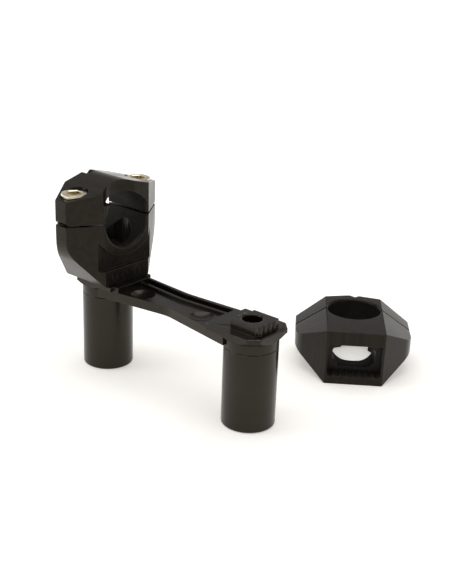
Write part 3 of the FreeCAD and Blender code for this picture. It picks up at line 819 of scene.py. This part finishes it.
@dataclass
class CapScrew:
    """A socket-head cap screw, its head standing on the origin, made on a lathe plan."""

    head_radius: float = 5.95 * MM
    head_height: float = 7.9 * MM
    rim: float = 0.7 * MM
    rib_depth: float = 0.10 * MM
    flats: float = 6.35 * MM
    socket_depth: float = 4.4 * MM
    mouth: float = 0.35 * MM
    shank_radius: float = 3.97 * MM
    length: float = 20.0 * MM
    tip_taper: float = 0.6 * MM
    tip_length: float = 0.8 * MM
    neck: float = 0.3 * MM
    foot_bevel: float = 0.3 * MM
    rib_end: float = 1.6
    rib_fade: float = 1.3
    drill_share: float = 0.35
    drill_depth: float = 0.9 * MM
    smooth_below: float = math.radians(33.0)
    around: int = 72

    def ring(self, shape: bmesh.types.BMesh, radius: Callable[[float], float], height: float
             ) -> list[bmesh.types.BMVert]:
        """Adds a ring of points.

        Args:
            shape: Mesh that takes them.
            radius: Radius at an angle.
            height: Their height.

        Returns:
            The points in order.
        """
        angles = [math.tau * step / self.around for step in range(self.around)]
        return [shape.verts.new((radius(angle) * math.cos(angle), radius(angle) * math.sin(angle), height))
                for angle in angles]

    def hexagon(self, angle: float) -> float:
        """Distance from the axis to the socket's wall at an angle."""
        sixth = math.pi / 3
        return self.flats / 2 / math.cos((angle % sixth) - sixth / 2)

    def ribbed(self, angle: float) -> float:
        """Radius of the ribbed side of the head at an angle."""
        return self.head_radius - self.rib_depth * (round(angle * self.around / math.tau) % 2)

    def plan(self) -> list[tuple[Callable[[float], float], float]]:
        """The rings of the screw from its tip round the head and into the socket.

        Returns:
            A radius function and a height for each ring.
        """
        top = self.head_height
        rim = self.rim
        floor = top - self.socket_depth

        def round_ring(radius: float) -> Callable[[float], float]:
            """A ring of one radius."""
            return lambda angle: radius

        def mouth(angle: float) -> float:
            """The chamfered edge of the socket."""
            return self.hexagon(angle) + self.mouth

        def drilled(angle: float) -> float:
            """The end of the socket, where the drill stopped."""
            return self.hexagon(angle) * self.drill_share

        half = rim * (1 - math.sqrt(0.5))
        shank = self.shank_radius
        head = self.head_radius
        return [
            (round_ring(shank - self.tip_taper), -self.length),
            (round_ring(shank), -self.length + self.tip_length),
            (round_ring(shank), -self.neck),
            (round_ring(shank + self.neck), 0.0),
            (round_ring(head - self.foot_bevel), 0.0),
            (self.ribbed, self.foot_bevel),
            (self.ribbed, top - rim * self.rib_end),
            (round_ring(head), top - rim * self.rib_fade),
            (round_ring(head), top - rim),
            (round_ring(head - half), top - half),
            (round_ring(head - rim), top),
            (mouth, top),
            (self.hexagon, top - self.mouth),
            (self.hexagon, floor),
            (drilled, floor - self.drill_depth),
        ]

    def build(self) -> bpy.types.Object:
        """Builds the screw.

        Returns:
            The screw object, with the distance from its axis in mm kept as an attribute.
        """
        shape = bmesh.new()
        rings = [self.ring(shape, radius, height) for radius, height in self.plan()]
        for low, high in zip(rings, rings[1:]):
            for step in range(self.around):
                after = (step + 1) % self.around
                shape.faces.new((low[step], low[after], high[after], high[step]))
        shape.faces.new(list(reversed(rings[0])))
        shape.faces.new(rings[-1])
        bmesh.ops.recalc_face_normals(shape, faces=shape.faces[:])
        mesh = bpy.data.meshes.new("cap_screw")
        shape.to_mesh(mesh)
        shape.free()
        radii = [math.hypot(point.co.x, point.co.y) / MM for point in mesh.vertices]
        mesh.attributes.new(LATHE_ATTRIBUTE, "FLOAT", "POINT").data.foreach_set("value", radii)
        mesh.shade_smooth()
        mesh.set_sharp_from_angle(angle=self.smooth_below)
        return link_object("cap_screw", mesh)


@dataclass
class BarClamp:
    """One split bar clamp: lower half, cap and two cap screws."""

    side: str
    place: Vector
    turn: Euler
    screw_offset: float = 19.75 * MM
    screw_seat: float = 35.7 * MM
    screw_count: int = 2
    bore_height: float = 29.9 * MM
    bore_radius: float = 12.7 * MM
    bore_margin: float = 1.02
    pocket: Vector = Vector((9.5, 13.0, 17.0)) * MM
    underside: float = 0.25 * MM
    steepest_rim: float = 0.3
    groove_side: float = 12.5 * MM
    groove_foot: float = 2.1 * MM
    groove_top: float = 5.3 * MM

    def is_on_groove(self, point: Vector) -> bool:
        """Tells whether a point lies on the fine index grooves beside the pocket."""
        own = self.turn.to_matrix().transposed() @ (point - self.place)
        return own.x > self.groove_side and self.groove_foot < own.z < self.groove_top

    def kind_of(self, first: Vector, second: Vector) -> EdgeKind:
        """Finds the kind of an edge: crisp on the index grooves, broken elsewhere.

        Args:
            first: One end of the edge.
            second: Its other end.

        Returns:
            The edge's kind.
        """
        on_groove = self.is_on_groove(first) and self.is_on_groove(second)
        return EdgeKind.CRISP if on_groove else EdgeKind.BROKEN

    def build(self, edge: EdgeBreak, materials: list[bpy.types.Material]) -> None:
        """Builds and dresses the two halves.

        Args:
            edge: How their edges are broken.
            materials: Those of the outside, of the bar's bore and of the toothed pocket.
        """
        for half in ("body", "cap"):
            node = f"{self.side}_clamp_{half}"
            piece = dressed_copy(node, edge, self.kind_of)
            self.mark_inside(piece)
            finish_piece(piece, materials, Slot.ANODISED, node)

    def part_of(self, middle: Vector, normal: Vector) -> ClampPart:
        """Finds which part of the clamp a face belongs to.

        Args:
            middle: Middle of the face, in the clamp's own frame.
            normal: Its direction there.

        Returns:
            The part, where rims count as the outside.
        """
        out = Vector((0.0, middle.y, middle.z - self.bore_height))
        bore = out.length < self.bore_radius * self.bore_margin and out.dot(normal) < 0.0
        if bore and abs(normal.x) < self.steepest_rim:
            return ClampPart.BORE
        deep = self.underside < middle.z < self.pocket.z
        within = abs(middle.x) < self.pocket.x and abs(middle.y) < self.pocket.y
        return ClampPart.POCKET if deep and within else ClampPart.OUTSIDE

    def mark_inside(self, piece: bpy.types.Object) -> None:
        """Gives the faces of the bore and of the pocket their own dull materials, a painted shade inside
        them.

        Args:
            piece: Dressed half of the clamp.
        """
        upright = self.turn.to_matrix().transposed()
        for face in piece.data.polygons:
            part = self.part_of(upright @ (face.center - self.place), upright @ face.normal)
            face.material_index = part.value

    def fasten(self, row: GeometryTree, screw: bpy.types.Object, steel: bpy.types.Material) -> None:
        """Puts the two screws in.

        Args:
            row: Tree that repeats a screw.
            screw: The screw.
            steel: Its material.
        """
        node = f"{self.side}_clamp_screws"
        seat = Vector((0.0, 0.0, self.screw_seat))
        start = seat - Vector((0.0, self.screw_offset, 0.0))
        piece = row.grow(f"{node}_dressed", Screw=screw, Count=self.screw_count, Start=start,
                         Step=Vector((0.0, self.screw_offset * 2, 0.0)), Place=self.place,
                         Turn=Vector(self.turn), Finish=steel)
        finish_piece(piece, [steel], Slot.STEEL, node)


@dataclass
class Bridge:
    """The waisted bar that joins the posts."""

    post_place: float = POST_SPACING / 2
    pad_top: float = PAD_TOP
    flare_top: float = 42.95 * MM
    flare_foot: float = 40.85 * MM
    inner_reach: float = 6.0 * MM
    boss_reach: float = 9.0 * MM
    level: float = 0.01 * MM

    def is_on_rim(self, point: Vector) -> bool:
        """Tells whether a point lies on the upper rim of a pad.

        Args:
            point: An end of an edge.

        Returns:
            True on the rim, which leaves out the boss and the side towards the middle.
        """
        along = abs(point.x) - self.post_place
        away = along > -self.inner_reach and math.hypot(along, point.y) > self.boss_reach
        return away and abs(point.z - self.pad_top) < self.level

    def kind_of(self, first: Vector, second: Vector) -> EdgeKind:
        """Finds the kind of an edge: soft on a pad's upper rim, crisp on the flare under it.

        Args:
            first: One end of the edge.
            second: Its other end.

        Returns:
            The edge's kind.
        """
        if all(self.flare_foot < end.z < self.flare_top for end in (first, second)):
            return EdgeKind.CRISP
        return EdgeKind.SOFT if self.is_on_rim(first) and self.is_on_rim(second) else EdgeKind.BROKEN

    def build(self, edge: EdgeBreak, metal: bpy.types.Material) -> None:
        """Builds and dresses the bridge.

        Args:
            edge: How its edges are broken.
            metal: Its material.
        """
        piece = dressed_copy("bridge", edge, self.kind_of)
        finish_piece(piece, [metal], Slot.ANODISED, "bridge")


@dataclass
class Posts:
    """The two turned posts and the threads cut in them."""

    spacing: float = POST_SPACING
    height: float = 36.8 * MM
    foot_radius: float = 6.35 * MM
    foot_depth: float = 15.0 * MM
    foot_turns: float = 8.0
    foot_ridge: float = 0.75 * MM
    head_radius: float = 4.05 * MM
    head_depth: float = 17.5 * MM
    head_turns: float = 13.0
    head_ridge: float = 0.5 * MM
    lead: float = 0.9 * MM

    def build(self, edge: EdgeBreak, metal: bpy.types.Material) -> None:
        """Builds and dresses the posts.

        Args:
            edge: How their edges are broken.
            metal: Their material.
        """
        for node in ("left_post", "right_post"):
            finish_piece(dressed_copy(node, edge), [metal], Slot.POST, node)

    def cut_threads(self, thread: GeometryTree, metal: bpy.types.Material) -> None:
        """Adds the turns of the threads in the feet and in the bare post's head.

        Args:
            thread: Tree that winds the turns.
            metal: Their material.
        """
        run = self.foot_depth - self.lead * 2
        for side, across in (("left", -self.spacing / 2), ("right", self.spacing / 2)):
            piece = thread.grow(f"{side}_foot_thread", Radius=self.foot_radius, Height=run,
                                Turns=self.foot_turns, Ridge=self.foot_ridge,
                                Place=Vector((across, 0.0, self.lead)), Finish=metal)
            finish_piece(piece, [metal], Slot.POST)
        run = self.head_depth - self.lead * 2
        piece = thread.grow("right_head_thread", Radius=self.head_radius, Height=run, Turns=self.head_turns,
                            Ridge=self.head_ridge, Finish=metal,
                            Place=Vector((self.spacing / 2, 0.0, self.height - self.lead - run)))
        finish_piece(piece, [metal], Slot.POST)


@dataclass
class SeatFixing:
    """The bolt and washer under the bar of the fitted clamp."""

    nodes: tuple[str, ...] = ("left_seat_bolt", "left_seat_washer")

    def build(self, edge: EdgeBreak, metal: bpy.types.Material) -> None:
        """Builds and dresses the bolt and the washer.

        Args:
            edge: How their edges are broken.
            metal: Their material.
        """
        for node in self.nodes:
            finish_piece(dressed_copy(node, edge), [metal], Slot.STEEL, node)


@dataclass(frozen=True)
class Lamp:
    """A square soft lamp, its place and size in metres and its power in watts."""

    name: str
    place: tuple[float, float, float]
    size: float
    power: float


@dataclass
class Studio:
    """White table, soft light and the camera at the photograph's angle."""

    floor_half: float = 3.0
    floor_colour: Colour = (0.92, 0.91, 0.89, 1.0)
    floor_rough: float = 0.9
    floor_shine: float = 0.1
    # The table's glow is painted light, dimmer near the part as a painted shade in the part's reflections
    floor_glow_range: tuple[float, float] = (0.25, 1.2)
    floor_glow_near: Colour = (0.38, 0.37, 0.35, 1.0)
    floor_glow_far: Colour = (0.85, 0.84, 0.82, 1.0)
    lamps: tuple[Lamp, ...] = (Lamp("overhead", (-0.1, 0.1, 1.5), 1.6, 14.0),
                               Lamp("front_left", (-0.9, -0.9, 0.9), 0.7, 4.0))
    aim: Vector = Vector((0.0, 0.03, 0.03))
    room_range: tuple[float, float] = (-0.2, 1.0)
    room_foot: Colour = (1.0, 1.0, 1.0, 1.0)
    room_top: Colour = (0.30, 0.29, 0.28, 1.0)
    room_greys: tuple[tuple[float, float], ...] = ((0.20, 0.95), (0.33, 0.48), (0.48, 0.40), (0.75, 0.34))
    room_green: float = 0.985
    room_blue: float = 0.96
    nearest: float = 0.01
    lens: float = 63.149
    sensor: float = 36.0
    position: Vector = Vector((0.292375, -0.310570, 0.216782))
    right: Vector = Vector((0.754212, 0.655789, 0.033230))
    up: Vector = Vector((-0.264094, 0.256620, 0.929731))
    back: Vector = Vector((0.601180, -0.709991, 0.366736))

    def lay_floor(self) -> None:
        """Lays the pale table top, which glows with painted light, dimmer near the part."""
        mesh = bpy.data.meshes.new("table")
        half = self.floor_half
        mesh.from_pydata([(-half, -half, 0), (half, -half, 0), (half, half, 0), (-half, half, 0)], [],
                         [(0, 1, 2, 3)])
        floor = link_object("table", mesh)
        material, tree, shader, coordinates = start_material("white_table")
        shader.inputs["Base Color"].default_value = self.floor_colour
        shader.inputs["Roughness"].default_value = self.floor_rough
        shader.inputs["Specular IOR Level"].default_value = self.floor_shine
        # The table glows with painted light that keeps it white without shadows; near the part the glow is
        # dimmer, a painted shade in what the part reflects.
        shader.inputs["Emission Strength"].default_value = 1.0
        away = tree.nodes.new("ShaderNodeVectorMath")
        away.operation = "LENGTH"
        tree.links.new(coordinates.outputs["Object"], away.inputs[0])
        far = map_range(tree, away.outputs["Value"], self.floor_glow_range, UNIT_RANGE)
        glow = mix_colour(tree, far, self.floor_glow_near, self.floor_glow_far)
        tree.links.new(glow, shader.inputs["Emission Color"])
        mesh.materials.append(material)

    def hang_lamps(self) -> None:
        """Hangs the soft lamps and turns them to the part."""
        for lamp in self.lamps:
            light = bpy.data.lights.new(lamp.name, "AREA")
            light.energy = lamp.power
            light.size = lamp.size
            holder = bpy.data.objects.new(lamp.name, light)
            holder.location = lamp.place
            way = self.aim - Vector(lamp.place)
            holder.rotation_euler = way.to_track_quat("-Z", "Y").to_euler()
            bpy.context.scene.collection.objects.link(holder)

    def light_room(self) -> None:
        """Lights the room around the table, white at the horizon and greyer overhead."""
        world = bpy.data.worlds.new("room")
        bpy.context.scene.world = world
        world.use_nodes = True
        tree = world.node_tree
        back = tree.nodes["Background"]
        coordinates = tree.nodes.new("ShaderNodeTexCoord")
        split = tree.nodes.new("ShaderNodeSeparateXYZ")
        tree.links.new(coordinates.outputs["Generated"], split.inputs[0])
        ramp = tree.nodes.new("ShaderNodeValToRGB")
        level = map_range(tree, split.outputs["Z"], self.room_range, UNIT_RANGE)
        tree.links.new(level, ramp.inputs["Fac"])
        stops = ramp.color_ramp.elements
        for stop, place, colour in zip(stops, UNIT_RANGE, (self.room_foot, self.room_top)):
            stop.position = place
            stop.color = colour
        for place, grey in self.room_greys:
            stops.new(place).color = (grey, grey * self.room_green, grey * self.room_blue, 1.0)
        tree.links.new(ramp.outputs["Color"], back.inputs["Color"])
        bpy.context.scene.view_settings.view_transform = "Standard"

    def set_camera(self) -> None:
        """Stands the camera where the photograph was taken."""
        lens = bpy.data.cameras.new("camera")
        lens.lens = self.lens
        lens.sensor_width = self.sensor
        lens.clip_start = self.nearest
        holder = bpy.data.objects.new("camera", lens)
        axes = Matrix((self.right, self.up, self.back)).transposed().to_4x4()
        holder.matrix_world = Matrix.Translation(self.position) @ axes
        bpy.context.scene.collection.objects.link(holder)
        bpy.context.scene.camera = holder


def main() -> None:
    """Builds the riser piece by piece, then the studio."""
    logging.basicConfig(level=logging.INFO, format="%(name)s: %(message)s")
    effects = SharedEffects()
    edge = EdgeBreak()
    along = AnodisedFinish("anodised_bridge", Lay.ALONG_BRIDGE).make(effects)
    across = ClampFinish("anodised_fitted_clamp", Lay.ALONG_BRIDGE).make(effects)
    upright = ClampFinish("anodised_loose_clamp", Lay.ALONG_UPRIGHT_BORE).make(effects)
    turned = AnodisedFinish("turned_post", Lay.AROUND_POST).make(effects)
    steel = SteelFinish("bright_steel").make(effects)
    black_and_bore_shade = DullBlackAndShadeFinish("dull_black").make(effects)
    pocket = PocketShadeFinish("pocket_black").make(effects)
    Bridge().build(edge, along)
    posts = Posts()
    posts.build(edge, turned)
    posts.cut_threads(make_thread_tree(), turned)
    screw = CapScrew().build()
    row = make_screw_row_tree()
    lying = Matrix.Rotation(LOOSE_HEADING, 3, "Z") @ Matrix.Rotation(LOOSE_TILT, 3, "Y")
    fitted = BarClamp("left", FITTED_PLACE, Euler())
    loose = BarClamp("right", LOOSE_PLACE, lying.to_euler())
    for clamp, metal in ((fitted, across), (loose, upright)):
        # The bore and the pocket take dull blacks, a painted shade in these hollows.
        clamp.build(edge, [metal, black_and_bore_shade, pocket])
        clamp.fasten(row, screw, steel)
    bpy.data.objects.remove(screw)
    SeatFixing().build(edge, black_and_bore_shade)
    studio = Studio()
    studio.lay_floor()
    studio.hang_lamps()
    studio.light_room()
    studio.set_camera()


if __name__ == "__main__":
    main()
